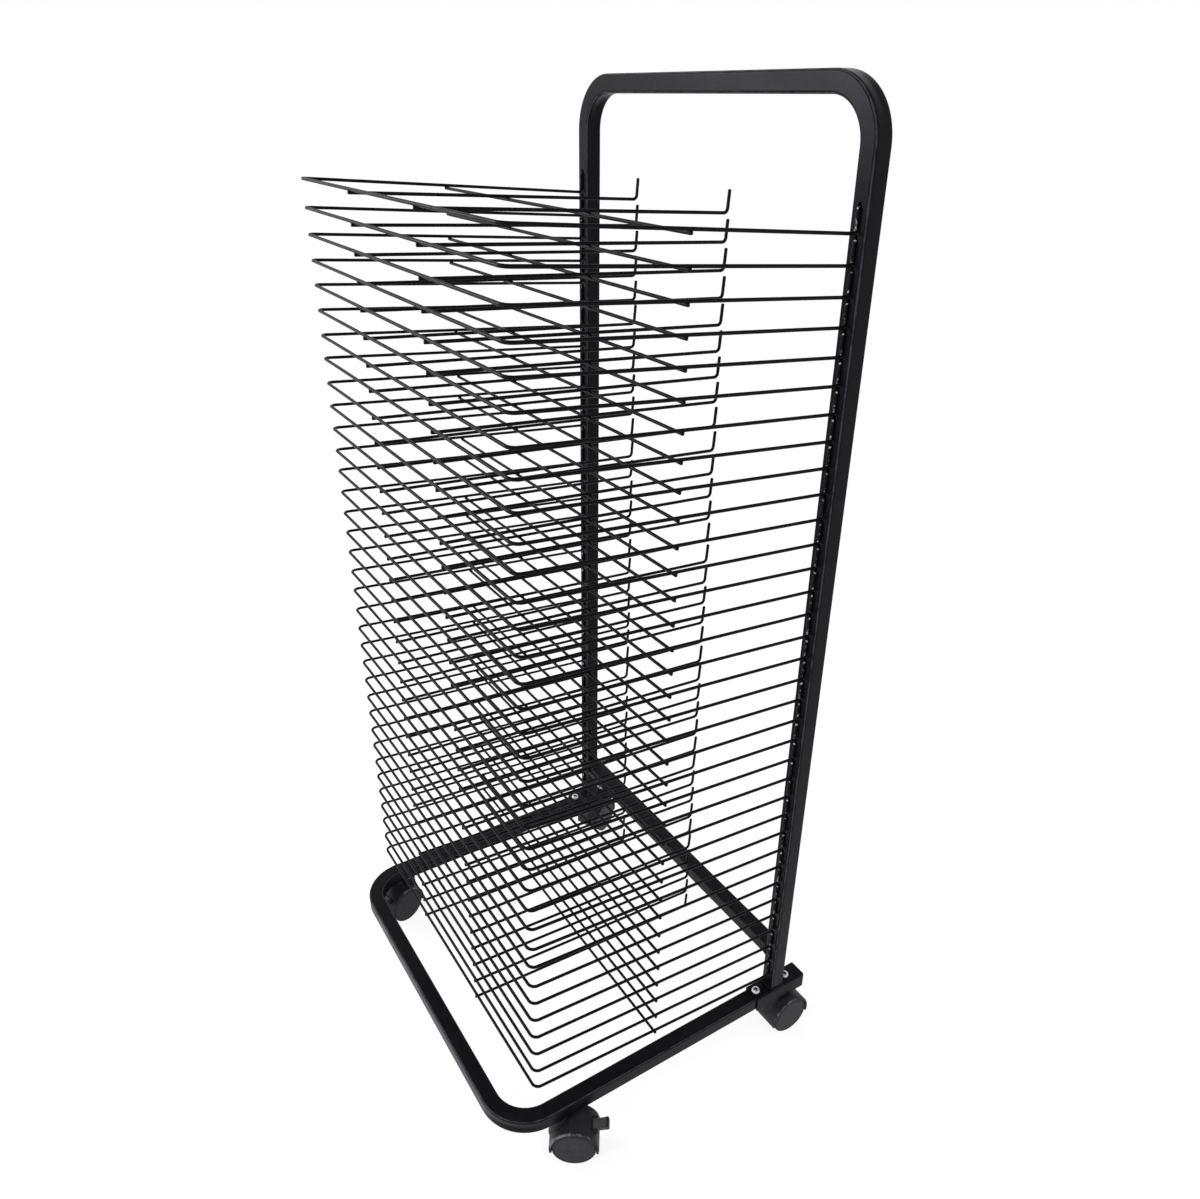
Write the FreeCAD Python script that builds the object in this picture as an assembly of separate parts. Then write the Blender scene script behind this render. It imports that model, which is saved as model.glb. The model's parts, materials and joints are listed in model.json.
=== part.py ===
import FreeCAD, Part
import math
import os

# Wheeled rack for drying sheets of paper flat, in millimetres.
# Origin: on the floor, at the middle of the rack's width and depth.
# +Z is up, and the open front of the shelves faces -Y.
# The pieces are drawn with y = 0 at the posts' front faces, and moved to the origin on saving.

Vector = FreeCAD.Vector
X_AXIS = Vector(1, 0, 0)
Y_AXIS = Vector(0, 1, 0)
Z_AXIS = Vector(0, 0, 1)

# square steel tube, and the two frames bent from it
tube_side = 19.0
tube_wall = 1.2
tube_corner = 2.5            # radius of the tube's four edges, each drawn as one flat
bend_radius = 47.0           # centreline radius of the frames' bends
post_spacing = 437.0         # between the centrelines of the two posts
frame_top = 1083.0           # floor to the top of the rear frame
rail_height = 134.6          # floor to the centreline of the rear cross rail
base_reach = 369.0           # from the posts' front faces to the front of the base
base_underside = 60.0        # floor to the underside of the base tube
arm_tail = 49.6              # how far the base's arms run behind the posts' front faces

# shelves of round steel wire, each wire drawn as a square bar of the same section area
shelf_count = 35
shelf_pitch = 25.4
first_shelf = 98.6           # floor to the lowest shelf's plane, at the posts' front faces
shelf_tilt = 4.4             # degrees, front edge higher
shelf_depth = 327.0          # along the shelf, from the posts' front faces to the front wire
wire = 3.2                   # diameter
corner_radius = 7.0          # front corners, each drawn as one mitred flat
cross_at = 171.0             # along the shelf, from the posts' front faces to the cross wire
cross_overhang = 0.5         # past the outside of the side wires
rod_spacing = 150.0          # between the two rods that carry the sheets
rod_overhang = 0.5           # past the front wire
rod_gap = 21.5               # from the posts' front faces to the stops
stop_height = 23.0           # top of a stop above the shelf's plane

# hooks at the ends of the side wires, and the slots that they hang in
hook_rise = 19.6             # from the shelf's plane up to the centre of the wire in the slot
hook_gap = 0.1               # between the hook's leg and the post's front face
tip_gap = 0.6                # between the upturned tip and the inside of the post's front wall
tip_length = 4.0             # above the wire that lies in the slot
seat_gap = 0.05              # between the wire and the bottom of its slot
slot_width = 4.4
slot_height = 6.5

# foot brackets, their bolts, and the plugs in the arms' open ends
bracket_wall = 2.0
bracket_corner = 2.5         # outer corners of the bent sheet, each drawn as one flat
bracket_nose = 23.0          # in front of the posts' front faces
bolt_radius = 3.0
bolt_hole_gap = 0.2
bolt_head_radius = 5.25
bolt_crown_radius = 3.4      # flat top of the button head
bolt_head_height = 3.3
bolt_set_in = 5.7            # from the bracket's nose to the front bolt's axis
bolt_pitch = 46.5            # between a bracket's two bolts
bolt_end = 1.5               # how far a bolt's end stands out under the arm
bolt_facets = 8              # flats round the bolts and their holes
plug_flange = 2.0
plug_depth = 8.0
plug_gap = 0.1

# twin-wheel casters, whose large round forms are drawn with flats
caster_facets = 28           # flats round a wheel, a multiple of four so that one lies on the floor
arch_facets = 16             # flats along the hood's arch
boss_facets = 12
wheel_radius = 25.0
wheel_width = 15.0
wheel_face = 2.5             # thickness of the wheel's closed outer face over the axle's end
axle_radius = 3.0
axle_end_gap = 0.4
running_gap = 0.05           # radial play of the axles and stems, and axial play of the stems
web_thickness = 6.0
side_gap = 1.0               # between each wheel and the web
web_drop = 8.0               # how far the web reaches below the axle, and half its foot's width
hood_gap = 1.2               # between the wheels' treads and the hood
hood_wall = 2.0
hood_drop = 9.0              # degrees that the hood's two edges reach below the axle
trail = 18.0                 # from the stem's axis to the axle
front_stem_back = 70.0       # from the front of the base back to the front stems' axes
rear_stem_at = 12.0          # behind the posts' front faces
stem_radius = 4.0
stem_floor = 2.5             # hood left between the wheels and the blind end of the stem's bore
collar_radius = 8.0          # hexagonal collar, across its corners
collar_height = 2.0
insert_radius = 5.0          # hexagonal insert in the tube's bottom wall, across its corners
insert_height = 9.0
boss_radius = 9.0

# brake levers, on the two front casters
lever_angle = 38.0           # degrees above the axle, where the lever's pins cross the hood
lever_offset = 1.4           # from the hood's outside to the pins' axis
lever_width = 13.0
lever_thickness = 3.6
lever_reach = 16.0           # from the pins' axis to the tip of the tab
lever_tail = 2.6             # from the pins' axis back to the lever's inner edge
nose_back = 2.0              # the nose that presses on the treads: behind the pins' axis
nose_drop = 3.6              # and below it
lever_rise = 12.0            # degrees that the tab points up while the brake is off
lever_pin = 1.3              # radius to the corners of the pins' eight flats
lever_pin_gap = 0.08
pin_facets = 8
lever_gap = 0.3              # between the lever and the lugs on each side of it
lug_thickness = 3.0
lug_radius = 3.4
notch_length = 7.5           # of the opening in the hood, round the lever's inner edge

# heading of each caster: the way its wheels trail from the stem, in degrees from +X
headings = {"front_right": 56.5, "front_left": -72.5, "rear_right": 90.0, "rear_left": 118.0}

# sizes and places worked out from the ones above
post_x = post_spacing / 2.0
post_y = tube_side / 2.0
base_top = base_underside + tube_side
bracket_top = base_top + bracket_wall
bar = wire * math.sqrt(math.pi) / 2.0
tilt = math.radians(shelf_tilt)
front_stem_at = base_reach - front_stem_back
leg_y = -(hook_gap + bar / 2.0)
tip_y = tube_wall + tip_gap + bar / 2.0
rod_slope = bar / (shelf_depth - cross_at)
axle_z = wheel_radius
wheel_inside = web_thickness / 2.0 + side_gap
wheel_outside = wheel_inside + wheel_width
hood_inner = wheel_radius + hood_gap
hood_outer = hood_inner + hood_wall
collar_foot = base_underside - collar_height
boss_top = collar_foot - running_gap
bore_end = axle_z + math.sqrt(hood_inner ** 2 - trail ** 2) + stem_floor
rear_end = rear_stem_at + trail + hood_outer
to_middle = Vector(0, (base_reach - rear_end) / 2.0, 0)
bolts_y = [bolt_set_in - bracket_nose, bolt_set_in - bracket_nose + bolt_pitch]
stems = {
    "front_right": Vector(post_x, -front_stem_at, 0),
    "front_left": Vector(-post_x, -front_stem_at, 0),
    "rear_right": Vector(post_x, rear_stem_at, 0),
    "rear_left": Vector(-post_x, rear_stem_at, 0),
}


def save(name, shapes):
    """Move one node's solids to the rack's own origin and write them to its STEP file."""
    shape = shapes[0] if len(shapes) == 1 else Part.makeCompound(shapes)
    shape.translate(to_middle)
    shape.exportStep("parts/" + name + ".step")


def solid_of(faces):
    solid = Part.makeSolid(Part.makeShell(faces))
    if solid.Volume < 0:
        solid.reverse()
    return solid


def polygon(points):
    return Part.Face(Part.makePolygon(points + points[:1]))


def to_flats(radius, sides):
    """Radius to the corners of a regular polygon whose flats lie at the given radius."""
    return radius / math.cos(math.pi / sides)


def prism(sides, radius, foot, way, across, length):
    """Straight bar along a way, its section a regular polygon with a flat facing across."""
    up = way.cross(across)
    turn = 2 * math.pi / sides
    ring = []
    for i in range(sides):
        angle = (i + 0.5) * turn
        ring.append(foot + (across * math.cos(angle) + up * math.sin(angle)) * radius)
    return polygon(ring).extrude(way * length)


# square tube

def section(centre, across, up, side, corner):
    """Face of a square, its sides along two unit vectors, with a flat over each round corner."""
    half = side / 2.0
    flat = half - corner * (2 - math.sqrt(2))
    spots = []
    for a, b in ((1, 1), (-1, 1), (-1, -1), (1, -1)):
        pair = [(half * a, flat * b), (flat * a, half * b)]
        if a != b:
            pair.reverse()
        spots.extend(pair[:1] if corner == 0 else pair)
    return polygon([centre + across * a + up * b for a, b in spots])


def bent_bar(start, inward, along, run, span, side, corner):
    """A U of square bar: a run one way, a bend, a span inward, a bend, and the run back."""
    up = inward.cross(along)
    length = run - bend_radius
    turn = start + along * length
    first = section(start, inward, up, side, corner).extrude(along * length)
    bend = section(turn, inward, up, side, corner).revolve(turn + inward * bend_radius, up * -1, 90)
    corner_end = turn + (inward + along) * bend_radius
    middle = section(corner_end, along, up, side, corner).extrude(inward * (span - 2 * bend_radius))
    centre = start + inward * (span / 2.0)
    mirrored = [shape.mirror(centre, inward) for shape in (first, bend)]
    return first.fuse([bend, middle] + mirrored).removeSplitter()


def bent_tube(start, inward, along, run, span):
    outer = bent_bar(start, inward, along, run, span, tube_side, tube_corner)
    inner = bent_bar(start, inward, along, run, span, tube_side - 2 * tube_wall, 0)
    return outer.cut(inner)


def straight_tube(start, across, along, length):
    up = across.cross(along)
    outer = section(start, across, up, tube_side, tube_corner).extrude(along * length)
    inner = section(start, across, up, tube_side - 2 * tube_wall, 0).extrude(along * length)
    return outer.cut(inner)


# wire shelves

def wire_bar(points, across):
    """Square bar along a run of points, its bends mitred; one pair of sides faces across."""
    ways = [(end - start).normalize() for start, end in zip(points, points[1:])]
    joints = [ways[0]] + [(a + b).normalize() for a, b in zip(ways, ways[1:])] + [ways[-1]]
    up = ways[0].cross(across)
    corners = [(1, 1), (-1, 1), (-1, -1), (1, -1)]
    ring = [points[0] + (across * a + up * b) * (bar / 2.0) for a, b in corners]
    rings = [ring]
    for way, point, joint in zip(ways, points[1:], joints[1:]):
        ring = [p + way * ((point - p).dot(joint) / way.dot(joint)) for p in ring]
        rings.append(ring)
    faces = [polygon(rings[0]), polygon(rings[-1])]
    for near, far in zip(rings, rings[1:]):
        for i in range(len(corners)):
            j = (i + 1) % len(corners)
            faces.append(polygon([near[i], near[j], far[j], far[i]]))
    return solid_of(faces)


def on_shelf(plane_z, x, reach, lift):
    """A point on a tilted shelf: how far forward of the posts, and how far above its plane."""
    y = -reach * math.cos(tilt) + lift * math.sin(tilt)
    z = plane_z + reach * math.sin(tilt) + lift * math.cos(tilt)
    return Vector(x, y, z)


def outer_wire(plane_z):
    """The wire bent round a shelf's sides and front, with a hook at each end."""
    slot_z = plane_z + hook_rise
    cut = corner_radius * (2 - math.sqrt(2))
    side = [
        Vector(post_x, tip_y, slot_z + bar / 2.0 + tip_length),
        Vector(post_x, tip_y, slot_z),
        Vector(post_x, leg_y, slot_z),
        on_shelf(plane_z, post_x, -leg_y / math.cos(tilt), 0),
        on_shelf(plane_z, post_x, shelf_depth - cut, 0),
        on_shelf(plane_z, post_x - cut, shelf_depth, 0),
    ]
    other = [Vector(-p.x, p.y, p.z) for p in reversed(side)]
    return wire_bar(side + other, X_AXIS)


def cross_wire(plane_z):
    end = post_x + bar / 2.0 + cross_overhang
    forward = on_shelf(0, 0, 1, 0) - on_shelf(0, 0, 0, 0)
    return wire_bar([on_shelf(plane_z, x, cross_at, -bar) for x in (-end, end)], forward)


def rod(plane_z, x):
    """Rod under the front wire and over the cross wire, turned up at the back as a stop."""
    front = shelf_depth + bar / 2.0 + rod_overhang
    return wire_bar([
        on_shelf(plane_z, x, front, (cross_at - front) * rod_slope),
        on_shelf(plane_z, x, rod_gap, (cross_at - rod_gap) * rod_slope),
        on_shelf(plane_z, x, rod_gap, stop_height),
    ], X_AXIS)


def shelf(plane_z):
    rods = [rod(plane_z, side * rod_spacing / 2.0) for side in (-1, 1)]
    return [outer_wire(plane_z), cross_wire(plane_z)] + rods


# frames

def rear_frame():
    """Posts and top of one bent tube, with a slot in each post for every shelf."""
    start = Vector(-post_x, post_y, bracket_top)
    height = frame_top - tube_side / 2.0 - bracket_top
    frame = bent_tube(start, X_AXIS, Z_AXIS, height, post_spacing)
    slots = []
    for x in (-post_x, post_x):
        for i in range(shelf_count):
            bottom = first_shelf + i * shelf_pitch + hook_rise - bar / 2.0 - seat_gap
            corner = Vector(x - slot_width / 2.0, -tube_wall, bottom)
            slots.append(Part.makeBox(slot_width, 3 * tube_wall, slot_height, corner))
    return frame.cut(Part.makeCompound(slots))


def rear_cross_rail():
    length = post_spacing - tube_side
    return straight_tube(Vector(-length / 2.0, post_y, rail_height), Y_AXIS, X_AXIS, length)


def base_frame():
    """U of tube lying flat, bored for the brackets' bolts and the casters' inserts."""
    start = Vector(-post_x, arm_tail, base_underside + tube_side / 2.0)
    reach = arm_tail + base_reach - tube_side / 2.0
    frame = bent_tube(start, X_AXIS, Y_AXIS * -1, reach, post_spacing)
    holes = [bolt_hole(x, y) for x in (-post_x, post_x) for y in bolts_y]
    low = Z_AXIS * (base_underside - tube_wall)
    seat = prism(6, insert_radius, low, Z_AXIS, X_AXIS, 3 * tube_wall)
    holes.extend([placed(seat, corner) for corner in stems])
    return frame.cut(Part.makeCompound(holes))


def bolt_hole(x, y):
    """Hole for a bolt, down through the bracket and the arm."""
    radius = to_flats(bolt_radius + bolt_hole_gap, bolt_facets)
    return prism(bolt_facets, radius, Vector(x, y, 0), Z_AXIS, X_AXIS, 2 * bracket_top)


def foot_bracket(x):
    """Saddle of bent sheet over the end of a base arm, welded under a post."""
    half = tube_side / 2.0
    side = half + bracket_wall
    flat = side - bracket_corner * (2 - math.sqrt(2))
    shoulder = bracket_top - bracket_corner * (2 - math.sqrt(2))
    outline = [
        (-side, base_underside), (-side, shoulder), (-flat, bracket_top), (flat, bracket_top),
        (side, shoulder), (side, base_underside), (half, base_underside), (half, base_top),
        (-half, base_top), (-half, base_underside),
    ]
    profile = [Vector(x + a, -bracket_nose, z) for a, z in outline]
    saddle = polygon(profile).extrude(Y_AXIS * (bracket_nose + arm_tail + plug_flange))
    return saddle.cut(Part.makeCompound([bolt_hole(x, y) for y in bolts_y]))


def foot_bolt(x, y):
    """Button-headed bolt down through a bracket and the arm inside it."""
    end = base_underside - bolt_end
    foot = Vector(x, y, end)
    shank = prism(bolt_facets, bolt_radius, foot, Z_AXIS, X_AXIS, bracket_top - end)
    turn = 2 * math.pi / bolt_facets
    rings = []
    for radius, z in ((bolt_head_radius, bracket_top),
                      (bolt_crown_radius, bracket_top + bolt_head_height)):
        spots = [Vector(x + radius * math.cos(i * turn), y + radius * math.sin(i * turn), z)
                 for i in range(bolt_facets)]
        rings.append(Part.makePolygon(spots + spots[:1]))
    return shank.fuse(Part.makeLoft(rings, True, True))


def arm_end_plug(x):
    centre = Vector(x, arm_tail, base_underside + tube_side / 2.0)
    flange = section(centre, X_AXIS, Z_AXIS, tube_side, tube_corner).extrude(Y_AXIS * plug_flange)
    inside = tube_side - 2 * tube_wall - 2 * plug_gap
    core = section(centre, X_AXIS, Z_AXIS, inside, 0).extrude(Y_AXIS * -plug_depth)
    return flange.fuse(core)


# casters, each drawn with its stem on the Z axis and its wheels trailing towards +X

def placed(shape, corner):
    moved = shape.copy()
    moved.rotate(Vector(0, 0, 0), Z_AXIS, headings[corner])
    moved.translate(stems[corner])
    return moved


def caster_stem():
    """Pin that the caster turns on, with a hexagonal collar and an insert in the tube."""
    foot = bore_end + running_gap
    pin = Part.makeCylinder(stem_radius, collar_foot - foot, Z_AXIS * foot)
    collar = prism(6, collar_radius, Z_AXIS * collar_foot, Z_AXIS, X_AXIS, collar_height)
    insert = prism(6, insert_radius, Z_AXIS * base_underside, Z_AXIS, X_AXIS, insert_height)
    return pin.fuse([collar, insert])


def hood_point(angle, radius):
    """A point round the axle, in the caster's middle plane, from an angle in radians."""
    return Vector(trail + radius * math.cos(angle), 0, axle_z + radius * math.sin(angle))


def hood_ring(radius):
    """Corners of the hood's arch at one radius, from its trailing edge over to its leading one."""
    low = math.radians(-hood_drop)
    step = (math.pi - 2 * low) / arch_facets
    return [hood_point(low + i * step, radius) for i in range(arch_facets + 1)]


def slab(points, half_width):
    """Outline in the caster's middle plane, thickened both ways along the axle."""
    edge = Y_AXIS * -half_width
    return polygon([p + edge for p in points]).extrude(Y_AXIS * (2 * half_width))


def caster_hood(with_lever):
    """Arched hood over both wheels, with the web between them and the boss for the stem."""
    arch = slab(hood_ring(hood_outer) + hood_ring(hood_inner)[::-1], wheel_outside)
    web_foot = [axle_spot + Vector(side * web_drop, 0, -web_drop) for side in (-1, 1)]
    web = slab(hood_ring(hood_inner) + web_foot, web_thickness / 2.0)
    corners = to_flats(boss_radius, boss_facets)
    boss = prism(boss_facets, corners, Z_AXIS * axle_z, Z_AXIS, X_AXIS, boss_top - axle_z)
    under = slab(hood_ring(hood_inner), wheel_outside)
    hood = arch.fuse([web, boss.cut(under)])
    web_side = axle_spot - Y_AXIS * (web_thickness / 2.0)
    cuts = [
        Part.makeCylinder(stem_radius + running_gap, boss_top, Z_AXIS * bore_end),
        Part.makeCylinder(axle_radius, web_thickness, web_side, Y_AXIS),
    ]
    if with_lever:
        hood = hood.fuse(lever_lugs().cut(under))
        cuts.append(lever_opening())
    return hood.cut(Part.makeCompound(cuts)).removeSplitter()


def caster_axle():
    half = wheel_outside - wheel_face - axle_end_gap
    return Part.makeCylinder(axle_radius, 2 * half, axle_spot - Y_AXIS * half, Y_AXIS)


def caster_wheel(side):
    """Wheel on one side of the web, its outer face closed over the axle's end."""
    start = axle_spot + Y_AXIS * (side * wheel_inside)
    outward = Y_AXIS * side
    radius = to_flats(wheel_radius, caster_facets)
    wheel = prism(caster_facets, radius, start, outward, X_AXIS, wheel_width)
    bore = Part.makeCylinder(axle_radius + running_gap, wheel_width - wheel_face, start, outward)
    return wheel.cut(bore)


def lever_spot(back, drop):
    """A point on the brake lever, from its pins' axis."""
    rise = math.radians(lever_rise)
    way = Vector(math.cos(rise), 0, math.sin(rise))
    return lever_axis - way * back - Vector(-way.z, 0, way.x) * drop


def lever_lugs():
    """Two ears on the hood, one each side of the lever."""
    inside = lever_width / 2.0 + lever_gap
    lugs = []
    for side in (-1, 1):
        foot = lever_axis + Y_AXIS * (side * inside)
        lugs.append(prism(pin_facets, lug_radius, foot, Y_AXIS * side, X_AXIS, lug_thickness))
    return lugs[0].fuse(lugs[1])


def lever_opening():
    """Room in the hood for the lever's nose, and the holes for its pins."""
    inside = lever_width / 2.0 + lever_gap
    angle = math.radians(lever_angle)
    outward = Vector(math.cos(angle), 0, math.sin(angle))
    along = Vector(-outward.z, 0, outward.x)
    middle = hood_point(angle, hood_outer)
    corners = []
    for a, b in ((-1, -1), (1, -1), (1, 1), (-1, 1)):
        corners.append(middle + outward * (a * 2 * hood_wall) + along * (b * notch_length / 2.0))
    radius = to_flats(lever_pin + lever_pin_gap, pin_facets)
    reach = inside + lug_thickness
    holes = prism(pin_facets, radius, lever_axis - Y_AXIS * reach, Y_AXIS, X_AXIS, 2 * reach)
    return slab(corners, inside).fuse(holes)


def brake_lever():
    """Tab with a nose under its pins that swings towards the treads as the tab is pressed."""
    half = lever_thickness / 2.0
    tab = slab([
        lever_spot(-lever_reach, half), lever_spot(-lever_reach, -half),
        lever_spot(lever_tail, -half), lever_spot(lever_tail, half),
        lever_spot(nose_back, nose_drop),
    ], lever_width / 2.0)
    reach = lever_width / 2.0 + lug_thickness
    pins = prism(pin_facets, lever_pin, lever_axis - Y_AXIS * reach, Y_AXIS, X_AXIS, 2 * reach)
    return tab.fuse(pins)


# where the casters' axle and the lever's pins lie, before each caster is placed
axle_spot = Vector(trail, 0, axle_z)
lever_axis = hood_point(math.radians(lever_angle), hood_outer + lever_offset)

os.makedirs("parts", exist_ok=True)
save("rear_frame", [rear_frame()])
save("rear_cross_rail", [rear_cross_rail()])
save("base_frame", [base_frame()])
save("foot_brackets", [foot_bracket(-post_x), foot_bracket(post_x)])
save("foot_bolts", [foot_bolt(x, y) for x in (-post_x, post_x) for y in bolts_y])
save("arm_end_plugs", [arm_end_plug(-post_x), arm_end_plug(post_x)])
for number in range(shelf_count):
    save("shelf_%02d" % (number + 1), shelf(first_shelf + number * shelf_pitch))
save("caster_stems", [placed(caster_stem(), corner) for corner in stems])
for corner in stems:
    has_lever = corner.startswith("front")
    save(corner + "_caster_hood", [placed(caster_hood(has_lever), corner)])
    save(corner + "_caster_axle", [placed(caster_axle(), corner)])
    save(corner + "_wheel_a", [placed(caster_wheel(-1), corner)])
    save(corner + "_wheel_b", [placed(caster_wheel(1), corner)])
    if has_lever:
        save(corner + "_brake_lever", [placed(brake_lever(), corner)])
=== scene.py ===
import json
import math

import bpy
import numpy as np
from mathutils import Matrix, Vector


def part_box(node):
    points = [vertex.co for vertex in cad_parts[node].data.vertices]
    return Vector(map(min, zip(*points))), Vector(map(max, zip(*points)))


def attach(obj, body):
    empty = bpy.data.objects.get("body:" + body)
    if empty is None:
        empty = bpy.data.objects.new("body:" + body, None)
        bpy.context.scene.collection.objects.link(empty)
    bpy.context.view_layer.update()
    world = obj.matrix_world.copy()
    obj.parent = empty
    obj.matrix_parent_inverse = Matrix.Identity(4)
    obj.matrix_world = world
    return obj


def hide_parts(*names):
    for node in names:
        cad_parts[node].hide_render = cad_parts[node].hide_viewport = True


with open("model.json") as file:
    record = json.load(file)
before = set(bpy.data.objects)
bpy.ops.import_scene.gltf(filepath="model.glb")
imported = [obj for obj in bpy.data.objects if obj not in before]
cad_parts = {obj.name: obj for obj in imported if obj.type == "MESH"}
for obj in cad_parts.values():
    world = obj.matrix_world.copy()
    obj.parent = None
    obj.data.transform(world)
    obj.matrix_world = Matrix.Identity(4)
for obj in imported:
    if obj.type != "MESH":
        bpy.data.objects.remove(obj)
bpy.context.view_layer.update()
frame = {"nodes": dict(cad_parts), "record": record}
mm = 0.001
tiny = 0.01 * mm
flatMargin = 0.4 * mm                  # from a square's round corner to the first point on its flat
rng = np.random.default_rng(35)        # the small unevenness from shelf to shelf
sharpAngle = math.radians(38)          # edges that turn more than this are shaded as edges
weldAngle = math.radians(80)           # the same for weld beads, whose ripples are smooth
bevelAngle = math.radians(50)          # edges that turn more than this are softened

frontLeft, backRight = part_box("rear_frame")
postFace = frontLeft.y                 # plane of the posts' front faces
joints = {joint["name"]: joint for joint in frame["record"]["behaviour"]["joints"]}


def unit(vectors):
    return vectors / np.linalg.norm(vectors, axis=-1, keepdims=True)


def around(steps):
    return np.linspace(0, 2 * np.pi, steps, endpoint=False)


def aboutX(angle):
    cos, sin = math.cos(angle), math.sin(angle)
    return np.array([[1, 0, 0], [0, cos, -sin], [0, sin, cos]])


def gridFaces(rows, columns, wrapRows=False):
    # quads between each closed ring of points and the next one
    r, c = np.meshgrid(np.arange(rows if wrapRows else rows - 1), np.arange(columns), indexing="ij")
    near, far = r * columns, (r + 1) % rows * columns
    left, right = c, (c + 1) % columns
    return np.stack([near + left, near + right, far + right, far + left], axis=-1).reshape(-1, 4)


def outward(points, faces):
    # six times the enclosed volume is the sum of p0 . (p1 x p2); a negative one is inside out
    volume = sum(np.sum(points[f[:, :1]] * np.cross(points[f[:, 1:-1]], points[f[:, 2:]])) for f in faces)
    return (points, faces if volume > 0 else [f[:, ::-1] for f in faces])


def closedTube(rings):
    # rings of points joined by quads, with a flat polygon over the first and the last one
    rows, columns = rings.shape[:2]
    ends = np.array([np.arange(columns)[::-1], np.arange(columns) + (rows - 1) * columns])
    return outward(rings.reshape(-1, 3), [gridFaces(rows, columns), ends])


def hollowTube(outer, inner):
    # out along the outer rings and back along the inner ones, so that the wall is closed all round
    rings = np.concatenate([outer, inner[::-1]])
    rows, columns = rings.shape[:2]
    return outward(rings.reshape(-1, 3), [gridFaces(rows, columns, wrapRows=True)])


def bar(ring, reach):
    # a closed ring drawn out by reach to both sides along Y
    away = np.array([0, reach, 0])
    return closedTube(np.stack([ring - away, ring + away]))


def roundedPath(corners, bends, steps):
    # straight runs, and at each inner corner an arc of its own radius round a centre
    # that lies radius / cos(turn / 2) from the corner, on the line that halves it
    corners = np.asarray(corners, float)
    bends = np.broadcast_to(np.asarray(bends, float), len(corners) - 2)[:, None, None]
    before = unit(corners[1:-1] - corners[:-2])
    after = unit(corners[2:] - corners[1:-1])
    turn = np.arccos(np.clip(np.sum(before * after, axis=1), -1, 1))[:, None, None]
    inward = unit(after - before)[:, None]
    along = unit(after + before)[:, None]
    centre = corners[1:-1, None] + inward * bends / np.cos(turn / 2)
    angle = np.linspace(-0.5, 0.5, steps + 1)[None, :, None] * turn
    arcs = centre + bends * (along * np.sin(angle) - inward * np.cos(angle))
    return np.vstack([corners[:1], arcs.reshape(-1, 3), corners[-1:]])


wireEnd = {
    "inset": np.array([0, 0.1, 0.35, 0.8]),        # from the cut, in radii of the wire
    "size": np.array([0.5, 0.78, 0.95, 1.0]),      # the radius there
}


def roundWire(path, radius, sides=12):
    # circle round each point of a path: centre + radius * (cos u * side + sin u * up),
    # smaller over the last bit at each end, which rounds the cut
    inset, share = wireEnd["inset"] * radius, wireEnd["size"]
    path = np.asarray(path, float)
    start, end = unit(path[1] - path[0]), unit(path[-1] - path[-2])
    middle = path[1:-1]
    path = np.vstack([path[0] + start * inset[:, None], middle, path[-1] - end * inset[::-1, None]])
    size = np.concatenate([share, np.ones(len(middle)), share[::-1]]) * radius
    ways = unit(np.gradient(path, axis=0))
    side = unit(np.cross(ways, np.ones(3)))        # no wire runs along (1, 1, 1)
    up = np.cross(ways, side)
    u = around(sides)[None, :, None]
    circle = np.cos(u) * side[:, None] + np.sin(u) * up[:, None]
    return closedTube(path[:, None] + size[:, None, None] * circle)


def roundedSquare(side, corner, steps=5, flat=4):
    # one arc and the flat after it, turned to all four sides; counter-clockwise from +a
    half = side / 2
    angle = np.linspace(0, np.pi / 2, steps + 1)
    arc = half - corner + corner * np.stack([np.cos(angle), np.sin(angle)], axis=1)
    reach = half - corner - flatMargin
    across = np.linspace(reach, -reach, flat)
    quarter = np.vstack([arc, np.stack([across, np.full(flat, half)], axis=1)])
    turn = np.array([[0, 1], [-1, 0]])
    return np.vstack([quarter @ np.linalg.matrix_power(turn, k) for k in range(4)])


def carried(profile, path, across, up):
    # the profile's two distances measured along across and up, at every point of the path
    return path[:, None] + profile[..., :1] * across[:, None] + profile[..., 1:] * up


def lathe(profile, steps):
    # distance from the axis and height along it, turned round Z; both ends lie on the axis
    r, z = np.asarray(profile, float).T
    u = around(steps)
    rings = np.stack([r[1:-1, None] * np.cos(u), r[1:-1, None] * np.sin(u),
                      np.repeat(z[1:-1, None], steps, axis=1)], axis=-1)
    points = np.vstack([rings.reshape(-1, 3), [[0, 0, z[0]], [0, 0, z[-1]]]])
    last = (len(r) - 3) * steps
    here, there = np.arange(steps), (np.arange(steps) + 1) % steps
    foot = np.stack([there, here, np.full(steps, len(points) - 2)], axis=1)
    top = np.stack([last + here, last + there, np.full(steps, len(points) - 1)], axis=1)
    return outward(points, [gridFaces(len(r) - 2, steps), foot, top])


def moved(shell, turn=np.eye(3), shift=(0, 0, 0)):
    points, faces = shell
    return (points @ np.asarray(turn).T + np.asarray(shift), faces)


def makePiece(name, shells, material, body, replaced=(), sharp=sharpAngle, wearAndPaintedLight=None):
    # wear, from 0 to 1 at every point, says how strongly the piece's mark is laid on there; the marks are
    # rubbed coat, painted highlights and painted shade
    points = np.vstack([p for p, faces in shells])
    starts = np.cumsum([0] + [len(p) for p, faces in shells[:-1]])
    polygons = [row for start, (p, faces) in zip(starts, shells)
                for f in faces for row in (f + start).tolist()]
    mesh = bpy.data.meshes.new(name)
    mesh.from_pydata(points, [], polygons)
    if wearAndPaintedLight is not None:
        mesh.attributes.new("wearAndPaintedLight", "FLOAT", "POINT").data.foreach_set("value", wearAndPaintedLight)
    finishMesh(mesh, sharp)
    piece = bpy.data.objects.new(name, mesh)
    bpy.context.scene.collection.objects.link(piece)
    mesh.materials.append(material)
    if body:
        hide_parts(*replaced)
        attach(piece, body)
    return piece


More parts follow.
